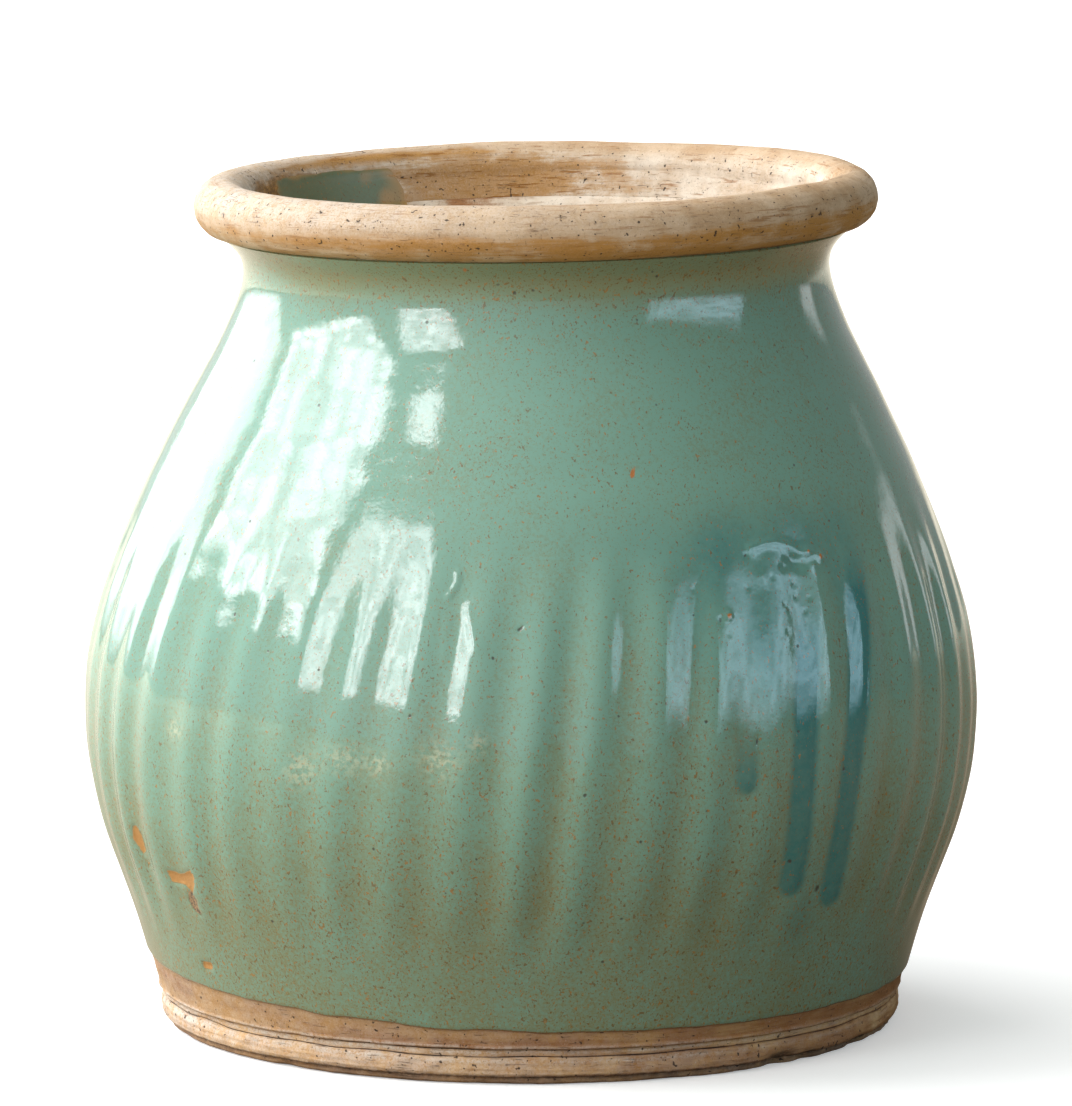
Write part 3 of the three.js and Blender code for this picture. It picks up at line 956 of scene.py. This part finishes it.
def band_piece():
    """The strap of clay round the foot: a thin ridge, a crease, then a wide rounded face."""
    theta = np.linspace(-180, 180, 901)[:-1]
    inner = FOOT_RADIUS - 9.2
    crease = FOOT_SEAM - CREASE_DOWN
    height = spread(BAND_LOW, (BAND_LOW + 2.5, 0.3), (crease - 1.5, 0.8), (FOOT_SEAM, 0.25))

    def rounded(share):
        return np.sqrt(np.clip(1 - abs(2 * share - 1) ** 3, 0, 1))

    face_curve = 1.7 * rounded((height - BAND_LOW) / (crease - BAND_LOW)) - 1.7
    ridge_curve = 0.9 * rounded((height - crease) / CREASE_DOWN) - 1.5
    face = np.column_stack([BAND_RADIUS + np.where(height < crease, face_curve, ridge_curve), height])
    section = np.concatenate([face, [(inner, FOOT_SEAM), (inner, BAND_LOW)]])
    normals = section_normals(section)
    angle, length = np.meshgrid(theta, section_lengths(section))
    shown = np.concatenate([np.ones(len(face)), [0, 0]])[:, None]
    level = section[:, 1:] + 0 * angle
    lift = 0.3 * swell(angle, length, 111, 16, 40) + 0.16 * swell(angle, length, 112, 80, 6)
    lift = lift + 0.12 * swell(angle, length, 113, 6, 1.8, 16)
    lift = lift + 0.06 * swell(angle, length, 114, 200, 2.2, 16)
    broken = edge_hollows(angle, level - 2)
    radius = section[:, :1] + (normals[:, :1] * lift - broken) * shown
    near_crease = (level > crease - 2.5) & (level < FOOT_SEAM - 0.4)
    wander = 0.35 * swell(angle, 0, 115, 30, 50) * near_crease
    points = polar(radius, angle, level + wander * shown)

    # left is 1 on the side facing the key light: the whitening there is painted light, and the extra
    # yellow-brown on the dim side is painted shade
    left = facing(angle, DIM_SIDE)
    above = level - crease
    # Painted shade in the crease, along the seam at the top, along the bottom edge and in the broken hollows
    in_crease = hump(above, 0, 0.45)
    top = smoothstep(above, CREASE_DOWN - 0.7, CREASE_DOWN - 0.1)
    bottom = 1 - smoothstep(level, BAND_LOW + 0.3, BAND_LOW + 1.6)
    # Painted highlights along the crest of the ridge and of the face, brighter on the lit side
    crest = hump(above, 0.6 * CREASE_DOWN, 0.8) + hump(above, -2.2, 0.9)
    crest_highlight = crest * (0.15 + 0.4 * left) * (1 + 0.5 * swell(angle, 0, 116, 40, 50))
    attributes = {
        "grain": grain(angle, length),
        "ochre_and_shade": 0.1 + 0.45 * (1 - left) + 0.3 * in_crease + 0.5 * bottom,
        "whitening_and_light": np.clip(0.75 * left + crest_highlight, 0, 1),
        "rusty": 0.45,
        "inside": 0,
        "crease_and_seam_shade": np.clip(0.68 * in_crease + 0.75 * top, 0, 1),
        "painted_shade": np.clip(0.35 * in_crease + bottom + 0.5 * broken, 0, 1),
    }
    return grid_piece("foot_strap", points, attributes, band_clay)


def slab_piece():
    """The disc under the pot, with a rough standing edge, a recess and a drain hole."""
    theta = np.linspace(-180, 180, 541)[:-1]
    x, y, z = node_points("base_slab").T
    drain, top = np.hypot(x, y).min(), z.max()
    edge = BAND_LOW - GAP
    ledge, step = 163, 1.6  # radius of the ledge under the foot band, and its depth below the top
    disc = 141.4  # radius of the part inside the wall
    recess, depth = 118, 3
    face = [
        (FOOT_RADIUS - 2.2, 0),
        (FOOT_RADIUS - 1, 0.4),
        (FOOT_RADIUS - 0.3, 1),
        (FOOT_RADIUS, 1.8),
        (FOOT_RADIUS - 0.1, edge),
    ]
    shoulder = [(ledge, edge), (ledge, top - step), (disc, top - step), (disc, top)]
    bore = [(80, top), (drain + 2, top), (drain, top - 1.5), (drain, depth + 1.5), (drain + 2, depth)]
    under = [(70, depth), (recess - 3, depth), (recess - 0.6, depth - 0.8), (recess, 1), (recess + 2, 0)]
    section = np.array([*face, *shoulder, *bore, *under, (150, 0)], float)
    angle, length = np.meshgrid(theta, section_lengths(section))
    rim = np.concatenate([np.ones(len(face)), np.zeros(len(section) - len(face))])[:, None] + 0 * angle
    rough = 0.5 * swell(angle, length, 121, 40, 8) + 0.3 * swell(angle, length, 122, 130, 4) - 0.6
    height = section[:, 1:] + 0 * angle
    points = polar(section[:, :1] + rim * (rough - edge_hollows(angle, height)), angle, height)
    attributes = {
        "grain": grain(angle, length),
        "ochre_and_shade": 0.35,
        "whitening_and_light": 0.2 * rim,
        "rusty": 0.5,
        "inside": 0,
        "crease_and_seam_shade": 0,
        # Painted shade on the standing edge, darkest just under the foot band
        "painted_shade": np.clip(0.35 * rim + smoothstep(height, edge - 1.2, edge) * rim, 0, 1),
    }
    return grid_piece("foot_slab", points, attributes, base_clay)


def add(piece, node, sharp=None):
    """Put a piece in place of a node. Edges over `sharp` degrees are shaded sharp."""
    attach(piece, "root")
    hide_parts(node)
    if sharp:
        piece.data.set_sharp_from_angle(angle=math.radians(sharp))


add(slab_piece(), "base_slab", sharp=50)
add(band_piece(), "foot_band", sharp=50)
add(wall_piece(), "wall", sharp=60)
add(rim_piece(), "rim_roll", sharp=40)
add(coat(), "outer_glaze", sharp=70)
add(splash_piece(), "inner_glaze")
for glaze_run in RUNS:
    add(run_piece(glaze_run), glaze_run.node)


# ---- Floor, light and camera ----

AIM = Vector((0, 0, 0.2))  # middle of the pot
FLOOR_SIZE = 14.0
FLOOR_BELOW = 0.0002
DAYLIGHT = (0.96, 0.97, 1.0)
BLUE_SKY = (0.55, 0.82, 1.0)


def floor():
    """A plain pale floor. The pot reflects it in the warmer tones of paving, brighter at the back left."""
    mesh = bpy.data.meshes.new("floor")
    corners = [(-1, -1), (1, -1), (1, 1), (-1, 1)]
    mesh.from_pydata([(x * FLOOR_SIZE, y * FLOOR_SIZE, -FLOOR_BELOW) for x, y in corners], [], [(0, 1, 2, 3)])
    g = Graph(bpy.data.materials.new("floor"))
    place = g.position()
    seen = g.add("LightPath", {}).outputs["Is Camera Ray"]
    pale = g.mix(g.noise(place, 900), "F2F2F0", "FAFAF8")
    side = g.add("SeparateXYZ", {0: place}).outputs[0]
    ground = g.mix(g.step(side, -0.9, 0.4), "C4B8A0", "7A664E")
    behind = g.step(g.vector("DOT_PRODUCT", {0: place, 1: (-0.6, 0.8, 0)}, "Value"), 0.1, 1.8)
    ground = g.over(ground, "DED4BE", behind)
    lit = g.times(behind, g.math("SUBTRACT", 1.0, seen))
    mesh.materials.append(g.finish({
        "Base Color": g.mix(seen, ground, pale),
        "Roughness": 0.9,
        "Emission Color": (1, 1, 1, 1),
        "Emission Strength": g.math("ADD", g.times(seen, 0.35), g.times(lit, 0.08)),
    }))
    stage = bpy.data.objects.new("floor", mesh)
    bpy.context.scene.collection.objects.link(stage)


def shade_panel(light, soft, leaves, branches):
    """Fades a panel over the `soft` shares of its width and height along its edges, and dims it in patches as
    leaves would and along a net of lines as branches would."""
    g = Graph(light)
    place = g.add("NewGeometry", {}).outputs["Parametric"]
    parts = g.add("SeparateXYZ", {0: place}).outputs
    fades = []
    for axis, share in enumerate(soft):
        off = g.math("ABSOLUTE", g.math("SUBTRACT", parts[axis], 0.5))
        fades.append(g.step(off, 0.5, 0.5 - share))
    stretched = g.vector("MULTIPLY", {0: place, 1: (0.7, 1.5, 1)})
    noise = g.add("TexNoise", {"Vector": stretched, "Scale": 7, "Detail": 5, "Roughness": 0.6})
    inputs = {"Value": noise.outputs["Fac"], "From Min": 0.42, "From Max": 0.56, "To Min": 1 - leaves}
    leafy = g.add("MapRange", inputs).outputs[0]
    bent = g.vector("MULTIPLY_ADD", {0: noise.outputs["Color"], 1: (0.12, 0.12, 0), 2: stretched})
    net = g.add("TexVoronoi", {"Vector": bent, "Scale": 6}, feature="DISTANCE_TO_EDGE")
    inputs = {"Value": net.outputs["Distance"], "From Min": 0.02, "From Max": 0.2, "To Min": 1 - branches}
    twigs = g.add("MapRange", inputs).outputs[0]
    strength = g.times(g.times(g.times(*fades), leafy), twigs)
    glow = g.add("Emission", {"Strength": strength})
    g.add("OutputLight", {0: glow.outputs[0]})


def panel(name, azimuths, elevations, radiance, colour, soft, leaves=0.0, branches=0.0):
    """A flat soft light that fills a range of directions, seen from the pot."""
    distance = 8.0
    azimuth = math.radians(sum(azimuths) / 2)
    elevation = math.radians(sum(elevations) / 2)
    out = math.cos(elevation)
    toward = Vector((out * math.cos(azimuth), out * math.sin(azimuth), math.sin(elevation)))
    width = 2 * distance * out * math.tan(math.radians(azimuths[1] - azimuths[0]) / 2)
    height = 2 * distance * math.tan(math.radians(elevations[1] - elevations[0]) / 2)
    light = bpy.data.lights.new(name, "AREA")
    light.shape = "RECTANGLE"
    light.size = width
    light.size_y = height
    light.energy = radiance * math.pi * width * height
    light.color = colour
    shade_panel(light, soft, leaves, branches)
    lamp = bpy.data.objects.new(name, light)
    lamp.location = AIM + toward * distance
    lamp.rotation_euler = toward.to_track_quat("Z", "Y").to_euler()
    lamp.visible_camera = False
    bpy.context.scene.collection.objects.link(lamp)


def surroundings():
    """Soft light all round: brightest on the left, dimmer on the right."""
    world = bpy.data.worlds.new("surroundings")
    g = Graph(world)
    toward = g.add("TexCoord", {}).outputs["Generated"]
    side = g.add("SeparateXYZ", {0: toward}).outputs[0]
    colour = g.mix(g.step(side, 1, -1), (0.17, 0.17, 0.16, 1), (1.1, 1.1, 1.08, 1))
    back = g.add("Background", {"Color": colour})
    g.add("OutputWorld", {0: back.outputs[0]})
    bpy.context.scene.world = world


floor()
surroundings()
panel("left_window", (155.5, 207), (18, 62), 9.0, DAYLIGHT, soft=(0.03, 0.04), leaves=0.4, branches=0.6)
panel("left_door", (213, 237), (9, 38), 8.5, DAYLIGHT, soft=(0.07, 0.05), leaves=0.6, branches=0.5)
panel("left_strip", (215, 230), (43, 48), 7, DAYLIGHT, soft=(0.2, 0.3))
panel("back_left", (110, 157), (-1, 58), 3.8, DAYLIGHT, soft=(0.08, 0.12), leaves=0.3)
panel("right_window_1", (-47, -43.5), (0, 29), 2.7, BLUE_SKY, soft=(0.3, 0.3), leaves=0.45)
panel("right_window_2", (-44, -2), (-1, 28), 2.9, BLUE_SKY, soft=(0.05, 0.33), leaves=0.5)
panel("back_right", (32, 46), (-1, 14), 1.1, DAYLIGHT, soft=(0.3, 0.3))

camera = bpy.data.objects.new("camera", bpy.data.cameras.new("camera"))
camera.location = (0.0028, -4.188, 0.825)
camera.rotation_euler = (math.radians(81.787), 0, 0)
camera.data.lens = 291.8
camera.data.sensor_width = 36
camera.data.clip_end = 60
bpy.context.scene.collection.objects.link(camera)
bpy.context.scene.camera = camera
bpy.context.scene.view_settings.view_transform = "Standard"
